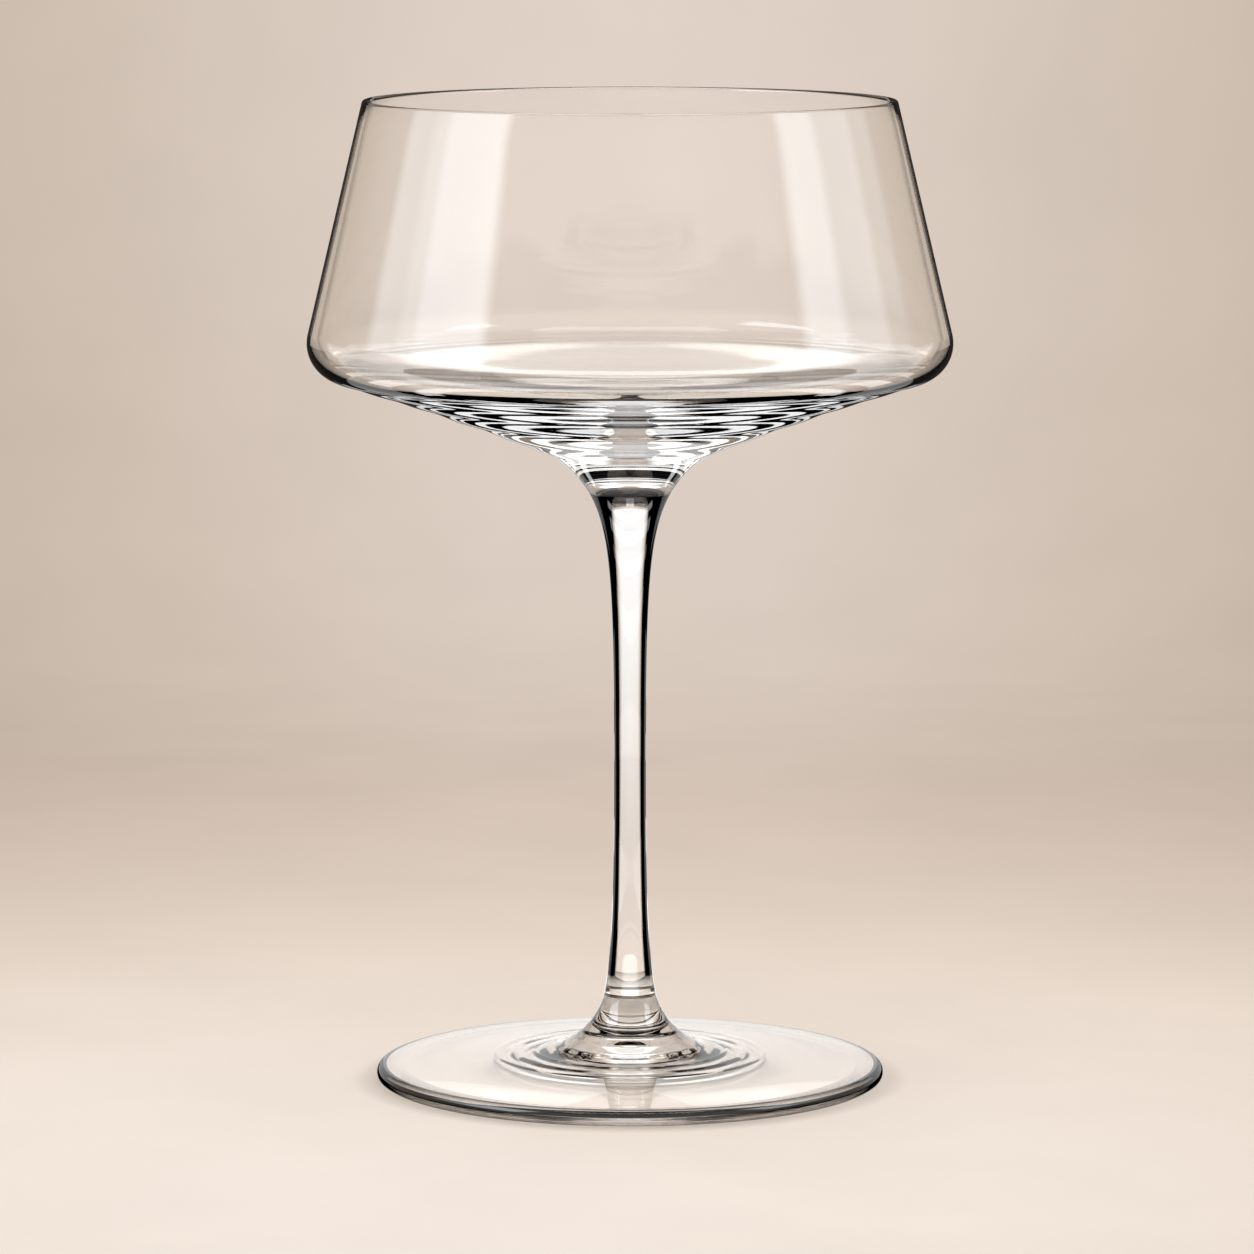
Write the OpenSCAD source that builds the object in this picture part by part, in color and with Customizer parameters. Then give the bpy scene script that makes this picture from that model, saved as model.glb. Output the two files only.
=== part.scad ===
// Coupe glass with a straight-sided bowl, a drawn stem and a plain round foot
// Three gathers of clear glass, fused hot at two flat joints, turned about the upright axis
// Origin: centre of the foot's rest ring on the table, +Z up to the rim

/* [Bowl] */
// Height of the rim above the table
glass_h = 170; // [165:1:185]
// Outer diameter at the rim
rim_d = 91.8; // [84:0.2:100]
// Widest outer diameter, at the shoulder
bowl_d = 111; // [104:0.5:120]
// Height of the centre that the shoulder is rounded about
shoulder_h = 128.4; // [124:0.2:134]
// Outer radius of the shoulder
shoulder_radius = 6.5; // [5.5:0.1:9]
// Slope of the underside where it leaves the shoulder, in degrees
underside_angle = 16.6; // [12:0.2:19]
// Slope of the underside where it meets the stem, in degrees
neck_angle = 22.5; // [20:0.5:26]
// Thickness of the wall at the fire-polished lip
lip_t = 1.1; // [0.9:0.05:1.5]
// Thickness of the wall at the widest place
shoulder_t = 1.6; // [1.4:0.1:2.2]
// Thickness of the floor under the shoulder
floor_t = 2; // [1.8:0.1:3]
// Inner radius of the shoulder
inner_shoulder_radius = 4.8; // [3.5:0.1:5]
// Slope of the inner floor, in degrees
floor_angle = 7; // [5:0.5:10]
// Radius of the rounded middle of the inner floor
bottom_radius = 100; // [60:5:140]

/* [Stem] */
// Diameter of the joint between bowl and stem
neck_d = 26.8; // [23:0.2:30]
// Diameter of the stem at its thinnest
stem_d = 5.3; // [4.6:0.1:7]
// Height over which the sharp part of the upper flare dies away
short_flare = 5.6; // [4.5:0.1:7]
// Height over which the gentle part of the upper flare dies away
long_flare = 13.2; // [10:0.2:17]
// Share of the upper flare that is sharp
sharp_share = 0.67; // [0.5:0.01:0.8]
// Diameter of the joint between stem and foot
foot_joint_d = 8.9; // [8:0.1:11]
// Height over which the lower flare dies away
lower_flare = 10; // [7:0.5:14]

/* [Foot] */
// Outer diameter of the foot
foot_d = 88; // [80:1:96]
// Height of the joint between stem and foot
foot_joint_h = 15; // [13:0.5:17]
// Thickness of the foot at its rounded edge
foot_edge_t = 2.75; // [2.2:0.05:3.5]
// Slope of the foot's upper face, in degrees
foot_angle = 5.1; // [4:0.1:6]
// Radius of the hollow sweep from the stem down to the foot's upper face
collar_radius = 13; // [10:0.5:14]
// Width of the flat rest ring, between the rounded edge and the shallow hollow underneath
rest_ring_w = 3.6; // [2:0.2:6]
// Height of the hollow at its middle
hollow_h = 2; // [1.2:0.1:3]

/* [Hidden] */
glass_colour = [0.87, 0.86, 0.84, 0.5];
round_steps = 180;
arc_steps = 24;
stem_steps = 56;
stem_step_power = 1.5;
quarter_turn = 90;
half_turn = 180;

lip_radius = lip_t / 2;
lip_centre = [rim_d / 2 - lip_radius, glass_h - lip_radius];
shoulder_centre = [bowl_d / 2 - shoulder_radius, shoulder_h];
inner_shoulder_centre = [
    bowl_d / 2 - shoulder_t - inner_shoulder_radius,
    shoulder_h - shoulder_radius + floor_t + inner_shoulder_radius
];
neck_r = neck_d / 2;
stem_r = stem_d / 2;
foot_r = foot_d / 2;
edge_radius = foot_edge_t / 2;
hollow_r = foot_r - edge_radius - rest_ring_w;

// Unit direction at an angle
function direction(angle) = [cos(angle), sin(angle)];

// Points along an arc, both ends included
function arc(centre, radius, start, end) =
    [for (i = [0 : arc_steps]) centre + radius * direction(start + (end - start) * i / arc_steps)];

// Direction square to a line that lies a given amount nearer to the far centre than to the near one
function tangent_direction(near, far, offset) =
    atan2(far[1] - near[1], far[0] - near[0]) - acos(offset / norm(far - near));

// Outer and inner faces of the straight side wall
outer_wall_angle = tangent_direction(shoulder_centre, lip_centre, shoulder_radius - lip_radius);
inner_wall_angle = tangent_direction(inner_shoulder_centre, lip_centre, inner_shoulder_radius + lip_radius);

// Hollow-cheeked underside: an arc that leaves the shoulder at one slope and meets the neck at a steeper one
underside_start = shoulder_centre + shoulder_radius * direction(underside_angle - quarter_turn);
underside_radius = (underside_start[0] - neck_r) / (sin(neck_angle) - sin(underside_angle));
underside_centre = underside_start - underside_radius * direction(underside_angle + quarter_turn);
neck_h = underside_centre[1] + underside_radius * cos(neck_angle);

// Middle of the inner floor: an arc about the axis that the straight floor runs into
floor_reach = inner_shoulder_centre * direction(floor_angle - quarter_turn) + inner_shoulder_radius;
bottom_centre = [0, (bottom_radius - floor_reach) / cos(floor_angle)];

// Radius of the stem at a height: a thin rod with a two-part flare above and a soft flare below
function upper_flare(drop) = sharp_share * exp(-drop / short_flare) + (1 - sharp_share) * exp(-drop / long_flare);
function stem_radius(z) =
    stem_r
    + (neck_r - stem_r) * upper_flare(neck_h - z)
    + (foot_joint_d / 2 - stem_r) * exp(-(z - foot_joint_h) / lower_flare);
foot_joint_r = stem_radius(foot_joint_h);

// Sweep of the foot's collar: it passes through the joint and runs tangent into the sloping upper face
edge_centre = [foot_r - edge_radius, edge_radius];
upper_face_start = edge_centre + edge_radius * direction(quarter_turn - foot_angle);
upper_face_run = direction(half_turn - foot_angle);
collar_start = upper_face_start + collar_radius * direction(quarter_turn - foot_angle);
collar_offset = collar_start - [foot_joint_r, foot_joint_h];
collar_run = collar_offset * upper_face_run;
collar_rise = collar_run * collar_run - collar_offset * collar_offset + collar_radius * collar_radius;
collar_centre = collar_start - (collar_run + sqrt(collar_rise)) * upper_face_run;
collar_joint_angle = 2 * half_turn + atan2(foot_joint_h - collar_centre[1], foot_joint_r - collar_centre[0]);

// Hollow under the foot: part of a large sphere
hollow_radius = (hollow_r * hollow_r + hollow_h * hollow_h) / (2 * hollow_h);
hollow_centre = [0, hollow_h - hollow_radius];

// Blown bowl: thin straight side, rounded shoulder, thick sloping floor
module bowl() {
    color(glass_colour)
        rotate_extrude($fn = round_steps)
            polygon(concat(
                [[0, neck_h]],
                arc(underside_centre, underside_radius, neck_angle + quarter_turn, underside_angle + quarter_turn),
                arc(shoulder_centre, shoulder_radius, underside_angle - quarter_turn, outer_wall_angle),
                arc(lip_centre, lip_radius, outer_wall_angle, inner_wall_angle + half_turn),
                arc(inner_shoulder_centre, inner_shoulder_radius, inner_wall_angle, floor_angle - quarter_turn),
                arc(bottom_centre, bottom_radius, floor_angle - quarter_turn, -quarter_turn)
            ));
}

// Drawn stem: solid rod, flared at the top to carry the bowl and a little at the foot
module stem() {
    heights = [
        for (i = [0 : stem_steps])
            neck_h - (neck_h - foot_joint_h) * pow(i / stem_steps, stem_step_power)
    ];
    color(glass_colour)
        rotate_extrude($fn = round_steps)
            polygon(concat(
                [[0, foot_joint_h], [0, neck_h]],
                [for (z = heights) [z == neck_h ? neck_r : stem_radius(z), z]]
            ));
}

// Pressed foot: collar, gently sloping upper face, rounded edge, rest ring and shallow hollow
module foot() {
    color(glass_colour)
        rotate_extrude($fn = round_steps)
            polygon(concat(
                arc(hollow_centre, hollow_radius, quarter_turn, quarter_turn - asin(hollow_r / hollow_radius)),
                arc(edge_centre, edge_radius, -quarter_turn, quarter_turn - foot_angle),
                arc(collar_centre, collar_radius, half_turn + quarter_turn - foot_angle, collar_joint_angle),
                [[0, foot_joint_h]]
            ));
}

bowl();
stem();
foot();
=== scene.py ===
# Coupe glass in clear crystal: a straight-sided bowl, a drawn stem and a round foot, on a pale studio table
import math

import bmesh
import bpy
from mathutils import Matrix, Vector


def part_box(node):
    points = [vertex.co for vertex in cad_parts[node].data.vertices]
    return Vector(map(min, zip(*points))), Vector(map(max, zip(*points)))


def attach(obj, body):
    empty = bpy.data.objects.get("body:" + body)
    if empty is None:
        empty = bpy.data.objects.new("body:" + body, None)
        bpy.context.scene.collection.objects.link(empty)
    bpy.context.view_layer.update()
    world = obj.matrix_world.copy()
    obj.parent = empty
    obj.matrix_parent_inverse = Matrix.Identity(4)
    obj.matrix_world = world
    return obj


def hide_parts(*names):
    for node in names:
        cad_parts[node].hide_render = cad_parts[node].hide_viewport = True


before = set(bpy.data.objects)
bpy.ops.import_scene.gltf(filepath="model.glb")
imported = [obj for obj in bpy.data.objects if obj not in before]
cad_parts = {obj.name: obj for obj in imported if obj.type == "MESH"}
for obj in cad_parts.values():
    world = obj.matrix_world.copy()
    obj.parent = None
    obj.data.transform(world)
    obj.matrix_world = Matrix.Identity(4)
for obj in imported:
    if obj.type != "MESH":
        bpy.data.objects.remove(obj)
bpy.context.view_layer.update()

# The bowl is blown into a turned mould, so its floor carries faint rings from the turning.
# It has a thin straight wall that leans in to the rim, a tight rounded shoulder and a thick sloping floor,
# and its lip is melted round in the flame.
glass_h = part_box("bowl")[1][2]
rim_r = 0.0918 / 2
bowl_r = 0.111 / 2
shoulder_h = 0.1284
shoulder_radius = 0.0065
underside_slope = math.radians(16.6)
neck_slope = math.radians(22.5)
neck_r = 0.0268 / 2
lip_radius = 0.0011 / 2
shoulder_t = 0.0016
floor_t = 0.0020
inner_shoulder_radius = 0.0048
floor_slope = math.radians(7)
bottom_radius = 0.100
floor_top = 0.1245
ring_pitch = 0.0080
slow_pitch = 0.0113
slow_share = 0.6
ring_onset = 4
under_ring_height = 0.00008
underside_points = 200
floor_points = 24
wall_points = 12
lip_points = 14
bottom_points = 12
arc_points = 28
sides = 240
right_angle = math.pi / 2
sharp_edge = math.radians(14)
on_axis = 1e-7
weld_slack = 1e-6


def direction(angle):
    """Unit vector in the plane of the outline, as radius and height."""
    return math.cos(angle), math.sin(angle)


def along(start, way, length):
    """The point that lies a length from the start, in one direction."""
    return start[0] + way[0] * length, start[1] + way[1] * length


def arc(centre, radius, start, end, points=arc_points):
    """Points along an arc, both ends included."""
    steps = [start + (end - start) * i / points for i in range(points + 1)]
    return [along(centre, direction(angle), radius) for angle in steps]


def tangent_angle(near, far, offset):
    """Direction square to a line that lies an offset nearer to the far centre than to the near one."""
    run = (far[0] - near[0], far[1] - near[1])
    return math.atan2(run[1], run[0]) - math.acos(offset / math.hypot(*run))


def stretch(start, end, points):
    """Points along a straight line, without its two ends."""
    shares = [i / points for i in range(1, points)]
    return [(start[0] + (end[0] - start[0]) * s, start[1] + (end[1] - start[1]) * s) for s in shares]


def ringed(line, depth, pitch, slow=0.0):
    """A stretch of the outline waved by faint rings and by slower waves, which die away at its two ends."""
    first, last = line[0][0], line[-1][0]
    waved = []
    for before, point, after in zip(line[:1] + line, line, line[1:] + line[-1:]):
        fade = min(1.0, ring_onset * abs(math.sin(math.pi * (point[0] - last) / (first - last))))
        wave = math.sin(2 * math.pi * point[0] / pitch)
        slow_wave = math.sin(2 * math.pi * point[0] / slow_pitch)
        run = math.dist(before, after)
        outward = ((before[1] - after[1]) / run, (after[0] - before[0]) / run)
        waved.append(along(point, outward, depth * fade * (wave + slow * slow_wave)))
    return waved


def turned(name, outline, weld_heights=(), zone=None):
    """A closed mesh turned about the upright axis.

    Flat faces at a weld height get the second material. On all other faces, the zone function gives the
    number of the material from the face's radius and height.
    """
    mesh = bmesh.new()
    turns = [2 * math.pi * k / sides for k in range(sides)]
    rings = []
    for radius, height in outline:
        if radius < on_axis:
            spots = [(0, 0, height)]
        else:
            spots = [(radius * math.cos(t), radius * math.sin(t), height) for t in turns]
        rings.append([mesh.verts.new(spot) for spot in spots])
    for first, second in zip(rings, rings[1:]):
        flat = abs(first[0].co.z - second[0].co.z) < on_axis
        welded = flat and any(abs(first[0].co.z - h) < weld_slack for h in weld_heights)
        middle = (first[0].co + second[0].co) / 2
        plain = zone(middle.x, middle.z) if zone else 0
        for k in range(sides):
            after = (k + 1) % sides
            corners = [first[k % len(first)], first[after % len(first)]]
            corners += [second[after % len(second)], second[k % len(second)]]
            face = mesh.faces.new(list(dict.fromkeys(corners)))
            face.smooth = True
            face.material_index = 1 if welded else plain
    bmesh.ops.recalc_face_normals(mesh, faces=mesh.faces)
    data = bpy.data.meshes.new(name)
    mesh.to_mesh(data)
    mesh.free()
    data.set_sharp_from_angle(angle=sharp_edge)
    piece = bpy.data.objects.new(name, data)
    bpy.context.scene.collection.objects.link(piece)
    return piece


lip_centre = (rim_r - lip_radius, glass_h - lip_radius)
shoulder_centre = (bowl_r - shoulder_radius, shoulder_h)
inner_centre = (
    bowl_r - shoulder_t - inner_shoulder_radius,
    shoulder_h - shoulder_radius + floor_t + inner_shoulder_radius,
)
outer_wall = tangent_angle(shoulder_centre, lip_centre, shoulder_radius - lip_radius)
inner_wall = tangent_angle(inner_centre, lip_centre, inner_shoulder_radius + lip_radius)
underside_start = along(shoulder_centre, direction(underside_slope - right_angle), shoulder_radius)
underside_radius = (underside_start[0] - neck_r) / (math.sin(neck_slope) - math.sin(underside_slope))
underside_centre = along(underside_start, direction(underside_slope + right_angle), -underside_radius)
neck_h = underside_centre[1] + underside_radius * math.cos(neck_slope)
floor_way = direction(floor_slope - right_angle)
floor_reach = inner_centre[0] * floor_way[0] + inner_centre[1] * floor_way[1] + inner_shoulder_radius
bottom_centre = (0.0, (bottom_radius - floor_reach) / math.cos(floor_slope))
floor_start = along(inner_centre, floor_way, inner_shoulder_radius)
floor_end = along(bottom_centre, floor_way, bottom_radius)
lip_start = along(lip_centre, direction(outer_wall), lip_radius)
wall_end = along(inner_centre, direction(inner_wall), inner_shoulder_radius)
underside_end = underside_slope + right_angle
underside = arc(underside_centre, underside_radius, neck_slope + right_angle, underside_end, underside_points)

bowl_outline = [(0.0, neck_h)]
bowl_outline += ringed(underside, under_ring_height, ring_pitch, slow_share)
bowl_outline += arc(shoulder_centre, shoulder_radius, underside_slope - right_angle, outer_wall)[1:]
bowl_outline += stretch(bowl_outline[-1], lip_start, wall_points)
bowl_outline += arc(lip_centre, lip_radius, outer_wall, inner_wall + math.pi, lip_points)
bowl_outline += stretch(bowl_outline[-1], wall_end, wall_points)
bowl_outline += arc(inner_centre, inner_shoulder_radius, inner_wall, floor_slope - right_angle)
bowl_outline += stretch(floor_start, floor_end, floor_points)
bowl_outline += arc(bottom_centre, bottom_radius, floor_slope - right_angle, -right_angle, bottom_points)


def bowl_zone(radius, height):
    """The thick floor has one material, and the wall another."""
    return 2 if height < floor_top else 0


bowl = turned("blown_bowl", bowl_outline, [neck_h], bowl_zone)

glass_ior = 1.5
clear_tone = 0.995
cloud_tone = 0.987
cloud_scale = 60.0
noise_low = 0.3
noise_high = 0.7
even_blend = 0.5
shadow_tone = (0.86, 0.85, 0.84)
plain_glass = {"Facing": 0.0, "Clear To": 0.5, "Dark From": 1.0, "Dark Tone": 0.0, "Low": -1.0, "High": 1.0}
plain_glass.update({"Blur": 0.0012, "Close": 0.0, "Line": -1.0, "Line Width": 0.0})
# Painted shade: the wall and floor of the bowl are darkened where they are looked through at a glance.
wall_painted_shade = {"Clear To": 0.80, "Dark From": 0.88, "Dark Tone": 0.02}
floor_painted_shade = {"Clear To": 0.45, "Dark From": 0.95, "Dark Tone": 0.3}


def feed(tree, socket, value):
    """Set a socket to a number, or link it to another node's output."""
    if isinstance(value, (int, float)):
        socket.default_value = value
    else:
        tree.links.new(value, socket)


def maths(tree, operation, first, second=0.0):
    """The result of one sum on two values, each a number or another node's output."""
    node = tree.nodes.new("ShaderNodeMath")
    node.operation = operation
    feed(tree, node.inputs[0], first)
    feed(tree, node.inputs[1], second)
    return node.outputs["Value"]


def map_range(tree, value, low, high, to_low=0.0, to_high=1.0, smooth=True):
    """A value taken from one range to another."""
    node = tree.nodes.new("ShaderNodeMapRange")
    node.interpolation_type = "SMOOTHSTEP" if smooth else "LINEAR"
    labels = ("Value", "From Min", "From Max", "To Min", "To Max")
    for label, given in zip(labels, (value, low, high, to_low, to_high)):
        feed(tree, node.inputs[label], given)
    return node.outputs["Result"]


def noise(tree, position, scale, detail=2.0):
    """Soft random clouds over the surface."""
    node = tree.nodes.new("ShaderNodeTexNoise")
    node.inputs["Scale"].default_value = scale
    node.inputs["Detail"].default_value = detail
    tree.links.new(position, node.inputs["Vector"])
    return node.outputs["Fac"]


def split_up(tree, position):
    """The three parts of a position, by name."""
    node = tree.nodes.new("ShaderNodeSeparateXYZ")
    tree.links.new(position, node.inputs["Vector"])
    return node.outputs


def blended(tree, share, first, second):
    """A shader that goes from the first one to the second by a share."""
    mix = tree.nodes.new("ShaderNodeMixShader")
    tree.links.new(share, mix.inputs["Fac"])
    tree.links.new(first.outputs[0], mix.inputs[1])
    tree.links.new(second.outputs[0], mix.inputs[2])
    return mix


def bare_material(name):
    """A material with an output and nothing else, with its node tree and the socket for its surface."""
    material = bpy.data.materials.new(name)
    material.use_nodes = True
    tree = material.node_tree
    tree.nodes.clear()
    return material, tree, tree.nodes.new("ShaderNodeOutputMaterial").inputs["Surface"]


def glass_clouds_and_painted_shade_group():
    """Shared tone of the glass: clear face on, painted shade at a glance, between two heights, and faint
    clouds.

    Where the painted shade dies away at either height it closes round the clear middle.
    A painted dark line of shade may run round the glass at one height.
    """
    group = bpy.data.node_groups.new("glass_clouds_and_painted_shade", "ShaderNodeTree")
    for label, value in plain_glass.items():
        socket = group.interface.new_socket(name=label, in_out="INPUT", socket_type="NodeSocketFloat")
        socket.default_value = value
    group.interface.new_socket(name="Position", in_out="INPUT", socket_type="NodeSocketVector")
    group.interface.new_socket(name="Tone", in_out="OUTPUT", socket_type="NodeSocketColor")
    given = group.nodes.new("NodeGroupInput").outputs
    result = group.nodes.new("NodeGroupOutput")
    height = split_up(group, given["Position"])["Z"]
    over_low = maths(group, "SUBTRACT", height, given["Low"])
    under_high = maths(group, "SUBTRACT", given["High"], height)
    inside = maths(group, "MINIMUM", over_low, under_high)
    within = group.nodes.new("ShaderNodeClamp")
    group.links.new(maths(group, "DIVIDE", inside, given["Blur"]), within.inputs["Value"])
    level = within.outputs["Result"]
    outside = maths(group, "SUBTRACT", 1.0, level)
    edge = maths(group, "MULTIPLY", maths(group, "MULTIPLY", level, outside), given["Close"])
    facing = maths(group, "ADD", given["Facing"], edge)
    # Painted shade: darker where the glass is looked through at a glance.
    glance = map_range(group, facing, given["Clear To"], given["Dark From"], smooth=False)
    dark = maths(group, "MULTIPLY", glance, level)
    # Painted shade: a dark line round the glass at one height.
    from_line = maths(group, "ABSOLUTE", maths(group, "SUBTRACT", height, given["Line"]))
    near_line = maths(group, "LESS_THAN", from_line, given["Line Width"])
    shade = maths(group, "MAXIMUM", dark, near_line)
    clouds = noise(group, given["Position"], cloud_scale)
    clear = map_range(group, clouds, noise_low, noise_high, cloud_tone, clear_tone, smooth=False)
    tone = group.nodes.new("ShaderNodeMix")
    group.links.new(shade, tone.inputs["Factor"])
    group.links.new(clear, tone.inputs["A"])
    group.links.new(given["Dark Tone"], tone.inputs["B"])
    group.links.new(tone.outputs["Result"], result.inputs["Tone"])
    return group


glass_clouds_and_painted_shade = glass_clouds_and_painted_shade_group()


def clear_glass(name, tones):
    """Clear crystal with painted shade by how far from square it is looked through, and open to lamp light.
    """
    material, tree, surface = bare_material(name)
    glass = tree.nodes.new("ShaderNodeBsdfPrincipled")
    glass.inputs["Transmission Weight"].default_value = 1.0
    glass.inputs["Metallic"].default_value = 0.0
    glass.inputs["Roughness"].default_value = 0.0
    glass.inputs["IOR"].default_value = glass_ior
    facing = tree.nodes.new("ShaderNodeLayerWeight")
    facing.inputs["Blend"].default_value = even_blend
    place = tree.nodes.new("ShaderNodeNewGeometry")
    toned = tree.nodes.new("ShaderNodeGroup")
    toned.node_tree = glass_clouds_and_painted_shade
    for label, value in tones.items():
        toned.inputs[label].default_value = value
    tree.links.new(facing.outputs["Facing"], toned.inputs["Facing"])
    tree.links.new(place.outputs["Position"], toned.inputs["Position"])
    tree.links.new(toned.outputs["Tone"], glass.inputs["Base Color"])
    lamp_light = tree.nodes.new("ShaderNodeBsdfTransparent")
    lamp_light.inputs["Color"].default_value = (*shadow_tone, 1)
    path = tree.nodes.new("ShaderNodeLightPath")
    mix = blended(tree, path.outputs["Is Shadow Ray"], glass, lamp_light)
    tree.links.new(mix.outputs["Shader"], surface)
    return material


def fused_joint():
    """The melted face between two gathers, where the glass runs on and no surface is left to see."""
    material = bpy.data.materials.new("fused_joint")
    material.use_nodes = True
    shader = material.node_tree.nodes["Principled BSDF"]
    shader.inputs["Alpha"].default_value = 0.0
    shader.inputs["Transmission Weight"].default_value = 1.0
    return material


weld = fused_joint()
bowl.data.materials.append(clear_glass("bowl_glass", wall_painted_shade))
bowl.data.materials.append(weld)
bowl.data.materials.append(clear_glass("floor_glass", floor_painted_shade))
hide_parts("bowl")
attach(bowl, "root")

# The stem is a solid rod drawn out of a hot gather and stuck under the bowl.
# It flares wide to carry the bowl, thins to a slender rod and opens a little again over the foot.
stem_r = 0.0053 / 2
short_flare = 0.0056
long_flare = 0.0132
sharp_share = 0.67
foot_joint_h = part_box("foot")[1][2]
foot_joint_base_r = 0.0089 / 2
lower_flare = 0.010
stem_points = 120
stem_point_power = 1.5
# Painted shade on the stem where it is looked through at a glance, between two heights.
stem_painted_shade = {"Clear To": 0.20, "Dark From": 0.26, "Dark Tone": 0.0}
stem_painted_shade.update({"Low": 0.0162, "High": 0.1045, "Blur": 0.0022, "Close": 1.0})
# Painted shade: a dark line painted round the stem at its joint with the foot.
stem_painted_shade.update({"Line": foot_joint_h, "Line Width": 0.0002})


def stem_radius(height):
    """Radius of the drawn rod at a height, with its two-part flare above and soft flare below."""
    drop = neck_h - height
    upper = sharp_share * math.exp(-drop / short_flare) + (1 - sharp_share) * math.exp(-drop / long_flare)
    lower = math.exp(-(height - foot_joint_h) / lower_flare)
    return stem_r + (neck_r - stem_r) * upper + (foot_joint_base_r - stem_r) * lower


foot_joint_r = stem_radius(foot_joint_h)
stem_outline = [(0.0, neck_h), (neck_r, neck_h)]
for i in range(1, stem_points + 1):
    height = neck_h - (neck_h - foot_joint_h) * (i / stem_points) ** stem_point_power
    stem_outline.append((stem_radius(height), height))
stem_outline.append((0.0, foot_joint_h))
stem = turned("drawn_stem", stem_outline, [neck_h, foot_joint_h])
stem.data.materials.append(clear_glass("stem_glass", stem_painted_shade))
stem.data.materials.append(weld)
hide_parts("stem")
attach(stem, "root")

# The foot is a third gather, spread and spun flat while hot, so it is faintly ringed round the collar.
# A collar sweeps down from the stem into a gently sloping upper face, the edge is rounded in the flame,
# and underneath a flat ring carries the glass round a shallow hollow.
foot_r = 0.088 / 2
edge_radius = 0.00275 / 2
upper_face_slope = math.radians(5.1)
collar_radius = 0.013
rest_ring_w = 0.0036
hollow_h = 0.002
edge_top = 0.00278
foot_ring_reach = 0.024
foot_ring_pitch = 0.0034
foot_ring_height = 0.00005
collar_ring_pitch = 0.0016
collar_ring_height = 0.00002
hollow_ring_reach = 0.018
hollow_ring_pitch = 0.0050
hollow_ring_height = 0.00008
hollow_points = 120
upper_face_points = 150
collar_points = 100
plain_collar_points = 12
# Painted shade on the collar, the rounded edge and the hollow where they are looked through at a glance.
collar_painted_shade = {"Clear To": 0.5, "Dark From": 0.8, "Dark Tone": 0.05, "Low": 0.0060, "Blur": 0.002}
# Painted shade: a dark line painted round the collar at its joint with the stem.
collar_painted_shade.update({"Line": foot_joint_h, "Line Width": 0.0003})
# Painted shade: a dark line painted round the rounded edge, low on the edge.
edge_painted_shade = {"Clear To": 0.35, "Dark From": 0.70, "Dark Tone": 0.0, "Line": 0.0019, "Line Width": 0.00035}
hollow_painted_shade = {"Clear To": 0.24, "Dark From": 0.30, "Dark Tone": 0.0}

edge_centre = (foot_r - edge_radius, edge_radius)
upper_face_start = along(edge_centre, direction(right_angle - upper_face_slope), edge_radius)
inward = direction(math.pi - upper_face_slope)
raised = along(upper_face_start, direction(right_angle - upper_face_slope), collar_radius)
offset = (raised[0] - foot_joint_r, raised[1] - foot_joint_h)
run = offset[0] * inward[0] + offset[1] * inward[1]
reach = -run - math.sqrt(run * run - offset[0] ** 2 - offset[1] ** 2 + collar_radius**2)
collar_centre = along(raised, inward, reach)
collar_end = 2 * math.pi + math.atan2(foot_joint_h - collar_centre[1], foot_joint_r - collar_centre[0])
hollow_r = foot_r - edge_radius - rest_ring_w
hollow_radius = (hollow_r**2 + hollow_h**2) / (2 * hollow_h)
hollow_centre = (0.0, hollow_h - hollow_radius)
hollow_end = right_angle - math.asin(hollow_r / hollow_radius)
hollow = arc(hollow_centre, hollow_radius, right_angle, hollow_end, hollow_points)
edge = arc(edge_centre, edge_radius, -right_angle, right_angle - upper_face_slope)
collar = arc(collar_centre, collar_radius, 1.5 * math.pi - upper_face_slope, collar_end, collar_points)
upper_face = stretch(edge[-1], collar[0], upper_face_points)
ringed_face = [point for point in upper_face if point[0] <= foot_ring_reach]
ringed_hollow = [point for point in hollow if point[0] <= hollow_ring_reach]

foot_outline = ringed(ringed_hollow, hollow_ring_height, hollow_ring_pitch)
foot_outline += hollow[len(ringed_hollow):]
foot_outline += edge
foot_outline += upper_face[:-len(ringed_face)]
foot_outline += ringed(ringed_face, foot_ring_height, foot_ring_pitch)
foot_outline += collar[:plain_collar_points]
foot_outline += ringed(collar[plain_collar_points:], collar_ring_height, collar_ring_pitch)
foot_outline.append((0.0, foot_joint_h))


def foot_zone(radius, height):
    """The rounded edge and the rings in the hollow have materials of their own, each with its own painted
    shade.
    """
    if height > edge_top:
        return 0
    if radius > hollow_r:
        return 2
    return 3 if radius < hollow_ring_reach else 0


foot = turned("spun_foot", foot_outline, [foot_joint_h], foot_zone)
foot.data.materials.append(clear_glass("foot_glass", collar_painted_shade))
foot.data.materials.append(weld)
foot.data.materials.append(clear_glass("edge_glass", edge_painted_shade))
foot.data.materials.append(clear_glass("hollow_glass", hollow_painted_shade))
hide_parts("foot")
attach(foot, "root")

# The table and backdrop are one seamless sweep of pale, faintly mottled card that turns up all round.
# Its tone is painted light and shade: brightest on the table just in front of the glass, and darkest where
# the table turns up.
# It shows only its inner side, so that no view is shut out by the near half of it.
sweep_start = 0.50
sweep_radius = 0.20
wall_height = 0.80
table_points = 12
sweep_points = 40
# Painted light: the card's tone is painted brightest round this spot in front of the glass, darkest where the
# table turns up, and a little lighter again up the backdrop.
painted_light_spot = (-0.03, -0.10, 0.0)
tone_reach = 0.8
card_and_painted_light_tones = [
    (0.06, (0.920, 0.820, 0.740)),
    (0.16, (0.860, 0.750, 0.655)),
    (0.284, (0.760, 0.640, 0.548)),
    (0.42, (0.640, 0.530, 0.450)),
    (0.53, (0.650, 0.546, 0.468)),
    (0.75, (0.740, 0.640, 0.565)),
]
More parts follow.
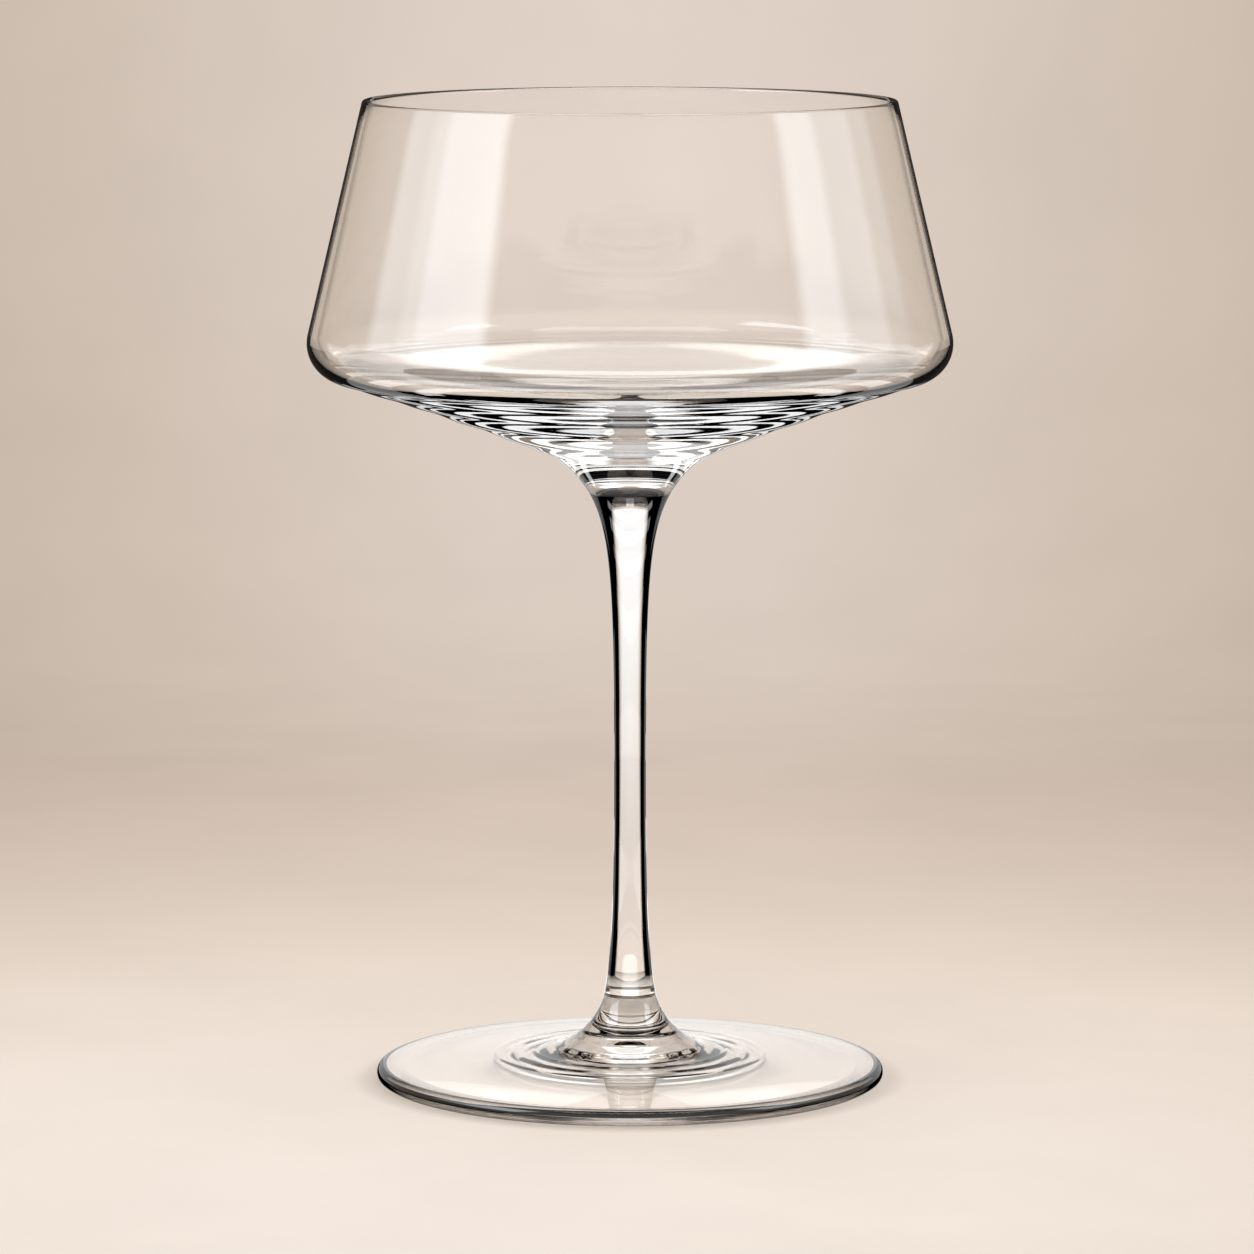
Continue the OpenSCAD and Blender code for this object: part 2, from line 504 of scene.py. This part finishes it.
# Painted shade: the card is painted darker and warmer towards the sides behind the glass.
painted_side_shade = (0.80, 0.775, 0.73)
side_start = 0.035
side_reach = 0.18
mottle_dark = 0.98
mottle_bright = 1.02
mottle_scale = 22.0
mottle_detail = 3.0
half_bounce = 0.5
# Painted reflection: the card glows brighter in front of the glass only where the glass mirrors it.
front_start = 0.10
front_reach = 0.45
painted_mirror_gain = 0.8
# Painted shadow: the card is darkened under and just round the foot, as a contact shadow.
contact_under = 0.0400
contact_start = 0.0440
contact_end = 0.049
painted_shadow_share = 0.78
lit_reach = 0.14
plain_reach = 0.30

sweep_wall = sweep_start + sweep_radius
sweep_outline = [(0.0, 0.0)] + [(sweep_start * k / table_points, 0.0) for k in range(1, table_points)]
sweep_outline += arc((sweep_start, sweep_radius), sweep_radius, -right_angle, 0.0, sweep_points)
sweep_outline += [(sweep_wall, wall_height)]


def measured(tree, operation, position, other=(0.0, 0.0, 0.0)):
    """A length worked out from a position and a second point or direction."""
    node = tree.nodes.new("ShaderNodeVectorMath")
    node.operation = operation
    node.inputs[1].default_value = other
    tree.links.new(position, node.inputs[0])
    return node.outputs["Value"]


def ramp(tree, value, reach, stops, smooth):
    """Colours by distance, each at its own share of the reach."""
    node = tree.nodes.new("ShaderNodeValToRGB")
    node.color_ramp.interpolation = "B_SPLINE" if smooth else "LINEAR"
    elements = node.color_ramp.elements
    while len(elements) < len(stops):
        elements.new(0.5)
    for element, (distance, colour) in zip(elements, stops):
        element.position = distance / reach
        element.color = (*colour, 1)
    tree.links.new(map_range(tree, value, 0.0, reach, smooth=False), node.inputs["Fac"])
    return node.outputs["Color"]


def warm_card():
    """Pale card: lit as card near the glass, and glowing further off at its tone, which carries painted light
    and shade.

    Where the glass mirrors it in front it glows brighter, a painted reflection, and a painted contact shadow
    darkens it where the foot stands on it.
    """
    material, tree, surface = bare_material("warm_card")
    material.cycles.emission_sampling = "NONE"
    place = tree.nodes.new("ShaderNodeNewGeometry").outputs
    path = tree.nodes.new("ShaderNodeLightPath").outputs
    parts = split_up(tree, place["Position"])
    tone = ramp(tree, measured(tree, "DISTANCE", place["Position"], painted_light_spot), tone_reach, card_and_painted_light_tones, True)
    sideways = maths(tree, "ABSOLUTE", parts["X"])
    beside_glass = map_range(tree, sideways, side_start, side_reach, smooth=False)
    behind_glass = map_range(tree, parts["Y"], 0.0, sweep_start)
    painted_side_falloff = tree.nodes.new("ShaderNodeMix")
    painted_side_falloff.data_type = "RGBA"
    painted_side_falloff.blend_type = "MULTIPLY"
    painted_side_falloff.inputs["B"].default_value = (*painted_side_shade, 1)
    tree.links.new(maths(tree, "MULTIPLY", behind_glass, beside_glass), painted_side_falloff.inputs["Factor"])
    tree.links.new(tone, painted_side_falloff.inputs["A"])
    mirrored = maths(tree, "GREATER_THAN", path["Glossy Depth"], half_bounce)
    in_front = map_range(tree, parts["Y"], -front_start, -front_reach)
    gain = maths(tree, "MULTIPLY", maths(tree, "MULTIPLY", mirrored, in_front), painted_mirror_gain)
    mottle = noise(tree, place["Position"], mottle_scale, mottle_detail)
    uneven = map_range(tree, mottle, noise_low, noise_high, mottle_dark, mottle_bright, smooth=False)
    level = maths(tree, "MULTIPLY", maths(tree, "ADD", gain, 1.0), uneven)
    around = measured(tree, "DISTANCE", place["Position"])
    under_foot = map_range(tree, around, contact_under, contact_start, 1.0, painted_shadow_share)
    beside_foot = map_range(tree, around, contact_start, contact_end, painted_shadow_share, 1.0)
    painted_contact_shadow = maths(tree, "MAXIMUM", under_foot, beside_foot)
    shaded = tree.nodes.new("ShaderNodeVectorMath")
    shaded.operation = "SCALE"
    tree.links.new(painted_side_falloff.outputs["Result"], shaded.inputs[0])
    tree.links.new(maths(tree, "MULTIPLY", level, painted_contact_shadow), shaded.inputs["Scale"])
    card = tree.nodes.new("ShaderNodeBsdfDiffuse")
    tree.links.new(shaded.outputs["Vector"], card.inputs["Color"])
    glow = tree.nodes.new("ShaderNodeEmission")
    tree.links.new(shaded.outputs["Vector"], glow.inputs["Color"])
    mix = blended(tree, map_range(tree, around, lit_reach, plain_reach), card, glow)
    open_air = tree.nodes.new("ShaderNodeBsdfTransparent")
    sided = blended(tree, place["Backfacing"], mix, open_air)
    tree.links.new(sided.outputs["Shader"], surface)
    return material


sweep = turned("seamless_sweep", sweep_outline)
sweep.data.flip_normals()
sweep.data.materials.append(warm_card())
sweep.visible_diffuse = False
sweep.visible_shadow = False

# Tall soft boxes stand left and right, a little towards the camera, and draw the long bright bands.
# Only the glass mirrors them. A flat light overhead draws the white line along the lip, and it lights the
# table too. Bearings are in degrees from the far side of the glass.
box_distance = 0.50
box_low = 0.20
box_high = 0.62
box_soft_bearing = 7.0
box_soft_height = 0.06
box_colour = (0.84, 0.93, 1.0)
soft_boxes = [
    ("left_soft_box", -128, -99, 6.6),
    ("left_soft_edge", -99, -92, 4.2),
    ("left_faint_box", -92, -77, 2.6),
    ("right_soft_box", 98, 116, 5.6),
    ("right_faint_box", 77, 98, 2.6),
    ("right_fainter_box", 64, 77, 1.0),
]
overhead_width = 0.5
overhead_height = 0.75
overhead_glow = 3.0


def only_mirrored(light):
    """Put a light in the scene so that only the glass mirrors it."""
    light.visible_camera = False
    light.visible_diffuse = False
    light.visible_transmission = False
    bpy.context.scene.collection.objects.link(light)


def soft_box(name, start, end, glow):
    """A tall soft light that fills a range of bearings and faces the glass.

    It dies away softly at all four sides, half inside and half outside the named range.
    """
    half_w = box_distance * math.tan(math.radians(abs(end - start)) / 2)
    half_h = (box_high - box_low) / 2
    side_blur = box_distance * math.radians(box_soft_bearing) / 2
    top_blur = box_soft_height / 2
    data = bpy.data.lights.new(name, "AREA")
    data.shape = "RECTANGLE"
    data.size = 2 * (half_w + side_blur)
    data.size_y = 2 * (half_h + top_blur)
    data.energy = glow * math.pi * data.size * data.size_y
    data.color = box_colour
    data.use_nodes = True
    bearing = math.radians((start + end) / 2)
    middle = (box_low + box_high) / 2
    tree = data.node_tree
    place = tree.nodes.new("ShaderNodeNewGeometry").outputs["Position"]
    sideways = measured(tree, "DOT_PRODUCT", place, (math.cos(bearing), -math.sin(bearing), 0.0))
    off_side = maths(tree, "ABSOLUTE", sideways)
    off_middle = maths(tree, "ABSOLUTE", maths(tree, "SUBTRACT", split_up(tree, place)["Z"], middle))
    side_fade = map_range(tree, off_side, half_w - side_blur, half_w + side_blur, 1.0, 0.0)
    top_fade = map_range(tree, off_middle, half_h - top_blur, half_h + top_blur, 1.0, 0.0)
    tree.links.new(maths(tree, "MULTIPLY", side_fade, top_fade), tree.nodes["Emission"].inputs["Strength"])
    light = bpy.data.objects.new(name, data)
    light.location = (box_distance * math.sin(bearing), box_distance * math.cos(bearing), middle)
    light.rotation_euler = (right_angle, 0.0, math.pi - bearing)
    only_mirrored(light)


for name, start, end, glow in soft_boxes:
    soft_box(name, start, end, glow)

overhead_data = bpy.data.lights.new("overhead_light", "AREA")
overhead_data.shape = "SQUARE"
overhead_data.size = overhead_width
overhead_data.energy = overhead_glow * math.pi * overhead_width**2
overhead = bpy.data.objects.new("overhead_light", overhead_data)
overhead.location = (0.0, 0.0, overhead_height)
only_mirrored(overhead)
overhead.visible_diffuse = True

# Curved panels and cards stand round the glass, and only light that the glass has mirrored or bent sees them.
# The bright ones light the floor of the bowl, the middle of the stem and the foot. The dark ones draw the
# outlines of the shoulder, the underside and the stem.
far_panel_r = 0.47
card_r = 0.15
stem_panel_r = 0.062
stem_card_r = 0.050
panel_steps = 24
most_crossed = 2.5
stem_fade = 0.09
stem_soft = 14
front_soft = 25
high_soft = 5
spot_gain = 0.8
spot_side = 0.038
spot_half_w = 0.036
spot_height = 0.198
spot_half_h = 0.042
stem_panel_tone = (1.04, 1.025, 1.01)
low_tone = (1.0, 1.0, 1.0)
front_tone = (7.0, 7.0, 7.0)
floor_panel_tone = (1.45, 1.36, 1.28)
high_tone = (2.0, 2.0, 2.0)
bowl_card_tone = (0.04, 0.035, 0.03)
shoulder_card_tone = (0.02, 0.02, 0.02)
stem_card_tone = (0.0, 0.0, 0.0)
stem_edge_tone = (0.6, 0.6, 0.6)


def panel(name, bearings, distance, heights, tone, seen, fade_to=None, spotted=False, soft=0.0):
    """A curved panel round part of the glass, seen by light that the glass has mirrored, bent or both.

    The bearings are its two ends and the heights its two edges. It may fade in from its lower edge up to
    a height, be brighter in two soft spots, or die away softly over some degrees at its two ends.
    """
    start, end = [math.radians(bearing) for bearing in bearings]
    mesh = bmesh.new()
    edges = []
    for k in range(panel_steps + 1):
        bearing = start + (end - start) * k / panel_steps
        across = (distance * math.sin(bearing), distance * math.cos(bearing))
        edges.append([mesh.verts.new((*across, height)) for height in heights])
    for first, second in zip(edges, edges[1:]):
        mesh.faces.new([first[0], second[0], second[1], first[1]])
    data = bpy.data.meshes.new(name)
    mesh.to_mesh(data)
    mesh.free()
    material, tree, surface = bare_material(name)
    material.cycles.emission_sampling = "NONE"
    glow = tree.nodes.new("ShaderNodeEmission")
    glow.inputs["Color"].default_value = (*tone, 1)
    open_air = tree.nodes.new("ShaderNodeBsdfTransparent")
    path = tree.nodes.new("ShaderNodeLightPath").outputs
    place = tree.nodes.new("ShaderNodeNewGeometry").outputs["Position"]
    parts = split_up(tree, place)
    hidden = maths(tree, "GREATER_THAN", path["Diffuse Depth"], half_bounce)
    if seen == "both":
        least = maths(tree, "MINIMUM", path["Glossy Depth"], path["Transmission Depth"])
        hidden = maths(tree, "MAXIMUM", hidden, maths(tree, "LESS_THAN", least, half_bounce))
    if seen == "bent":
        too_deep = maths(tree, "GREATER_THAN", path["Transmission Depth"], most_crossed)
        hidden = maths(tree, "MAXIMUM", hidden, too_deep)
    if fade_to is not None:
        low_fade = map_range(tree, parts["Z"], heights[0], fade_to, 1.0, 0.0)
        hidden = maths(tree, "MAXIMUM", hidden, low_fade)
    if soft:
        middle = (start + end) / 2
        half = (end - start) / 2
        ahead = (math.sin(middle) / distance, math.cos(middle) / distance, 0.0)
        turned_away = measured(tree, "DOT_PRODUCT", place, ahead)
        end_fade = map_range(tree, turned_away, math.cos(half), math.cos(half - math.radians(soft)), 1.0, 0.0)
        hidden = maths(tree, "MAXIMUM", hidden, end_fade)
    if spotted:
        off_side = maths(tree, "SUBTRACT", maths(tree, "ABSOLUTE", parts["X"]), spot_side)
        off_height = maths(tree, "SUBTRACT", parts["Z"], spot_height)
        side_share = maths(tree, "POWER", maths(tree, "DIVIDE", off_side, spot_half_w), 2.0)
        height_share = maths(tree, "POWER", maths(tree, "DIVIDE", off_height, spot_half_h), 2.0)
        spread = maths(tree, "ADD", side_share, height_share)
        tree.links.new(map_range(tree, spread, 0.0, 1.0, 1.0 + spot_gain, 1.0), glow.inputs["Strength"])
    tree.links.new(blended(tree, hidden, glow, open_air).outputs["Shader"], surface)
    data.materials.append(material)
    piece = bpy.data.objects.new(name, data)
    bpy.context.scene.collection.objects.link(piece)
    piece.visible_camera = False
    piece.visible_diffuse = False
    piece.visible_glossy = seen != "bent"
    piece.visible_transmission = seen != "mirrored"
    piece.visible_shadow = False


panel("stem_panel", (-27, 27), stem_panel_r, (0.0, 0.124), stem_panel_tone, "bent", stem_fade, soft=stem_soft)
panel("low_panel", (-28, 28), far_panel_r, (0.0, 0.20), low_tone, "mirrored")
panel("front_low_light", (130, 230), far_panel_r, (0.02, 0.10), front_tone, "mirrored", soft=front_soft)
panel("floor_panel", (-16, 16), far_panel_r, (0.15, 0.31), floor_panel_tone, "both", spotted=True)
panel("left_high_panel", (-30, -5), far_panel_r, (0.31, 0.55), high_tone, "both", soft=high_soft)
panel("right_high_panel", (5, 30), far_panel_r, (0.31, 0.55), high_tone, "both", soft=high_soft)
panel("left_bowl_card", (-42, -4), card_r, (0.085, 0.20), bowl_card_tone, "mirrored")
panel("middle_bowl_card", (-4, 4), card_r, (0.085, 0.112), bowl_card_tone, "mirrored")
panel("right_bowl_card", (4, 42), card_r, (0.085, 0.20), bowl_card_tone, "mirrored")
panel("left_shoulder_card", (-62, -30), card_r, (0.055, 0.12), shoulder_card_tone, "mirrored")
panel("right_shoulder_card", (30, 62), card_r, (0.055, 0.12), shoulder_card_tone, "mirrored")
panel("left_stem_card", (-95, -60), stem_card_r, (0.016, 0.084), stem_card_tone, "mirrored")
panel("right_stem_card", (60, 95), stem_card_r, (0.016, 0.084), stem_card_tone, "mirrored")
panel("left_stem_edge_panel", (-60, -24), card_r, (0.0, 0.055), stem_edge_tone, "mirrored")
panel("right_stem_edge_panel", (24, 60), card_r, (0.0, 0.055), stem_edge_tone, "mirrored")

# A card of bright and black rings lies on the table, and only the outside of the glass mirrors it.
# It draws the nested bands under the bowl. Each ring has a near edge, a far edge and a glow.
striped_height = 0.0006
striped_reach = 0.46
striped_sides = 64
stripe_blur = 0.003
stripes = [(0.100, 0.122, 3.8), (0.152, 0.195, 3.0), (0.245, 0.290, 2.0), (0.370, 0.410, 1.3)]


def striped_card():
    """The card of rings, lit from within."""
    turns = [2 * math.pi * k / striped_sides for k in range(striped_sides)]
    corners = [(striped_reach * math.cos(t), striped_reach * math.sin(t), striped_height) for t in turns]
    data = bpy.data.meshes.new("striped_card")
    data.from_pydata(corners, [], [list(range(striped_sides))])
    material, tree, surface = bare_material("striped_card")
    material.cycles.emission_sampling = "NONE"
    black = (0.0, 0.0, 0.0)
    stops = []
    for near_edge, far_edge, level in stripes:
        bright = (level, level, level)
        stops += [(near_edge - stripe_blur, black), (near_edge + stripe_blur, bright)]
        stops += [(far_edge - stripe_blur, bright), (far_edge + stripe_blur, black)]
    place = tree.nodes.new("ShaderNodeNewGeometry").outputs["Position"]
    around = measured(tree, "DISTANCE", place)
    glow = tree.nodes.new("ShaderNodeEmission")
    tree.links.new(ramp(tree, around, striped_reach, stops, False), glow.inputs["Color"])
    open_air = tree.nodes.new("ShaderNodeBsdfTransparent")
    path = tree.nodes.new("ShaderNodeLightPath").outputs
    bent = maths(tree, "MAXIMUM", path["Diffuse Depth"], path["Transmission Depth"])
    hidden = maths(tree, "GREATER_THAN", bent, half_bounce)
    tree.links.new(blended(tree, hidden, glow, open_air).outputs["Shader"], surface)
    data.materials.append(material)
    piece = bpy.data.objects.new("striped_card", data)
    bpy.context.scene.collection.objects.link(piece)
    piece.visible_camera = False
    piece.visible_diffuse = False
    piece.visible_transmission = False
    piece.visible_shadow = False


striped_card()

# The room is white all round, a little brighter for what is seen than for what it lights.
# It is dark for light that the glass has bent, which draws the dark lines in the thick glass.
room_glow = 0.965
seen_share = 0.34
dark_glow = 0.10
dark_colour = (0.9, 0.88, 0.86)

world = bpy.data.worlds.new("studio_room")
world.use_nodes = True
world.cycles.sampling_method = "NONE"
bpy.context.scene.world = world
room = world.node_tree
fill = room.nodes["Background"]
fill.inputs["Color"].default_value = (1.0, 1.0, 1.0, 1)
dark = room.nodes.new("ShaderNodeBackground")
dark.inputs["Color"].default_value = (*dark_colour, 1)
dark.inputs["Strength"].default_value = dark_glow
path = room.nodes.new("ShaderNodeLightPath").outputs
unlit = maths(room, "LESS_THAN", path["Diffuse Depth"], half_bounce)
extra = maths(room, "MULTIPLY", unlit, room_glow * seen_share)
room.links.new(maths(room, "ADD", extra, room_glow * (1.0 - seen_share)), fill.inputs["Strength"])
bent = maths(room, "MULTIPLY", unlit, path["Is Transmission Ray"])
blend = blended(room, bent, fill, dark)
room.links.new(blend.outputs["Shader"], room.nodes["World Output"].inputs["Surface"])

# The camera looks a little down at the glass through a long lens, as in the photograph.
camera_distance = 1.170
camera_height = 0.230
camera_tilt = math.radians(7.35)
sensor_width = 36.0
lens_length = 196.1
sideways_shift = -0.0024

camera_data = bpy.data.cameras.new("camera")
camera_data.sensor_width = sensor_width
camera_data.lens = lens_length
camera_data.shift_x = sideways_shift
camera = bpy.data.objects.new("camera", camera_data)
camera.location = (0.0, -camera_distance, camera_height)
camera.rotation_euler = (right_angle - camera_tilt, 0.0, 0.0)
bpy.context.scene.collection.objects.link(camera)
bpy.context.scene.camera = camera
bpy.context.scene.view_settings.view_transform = "Standard"
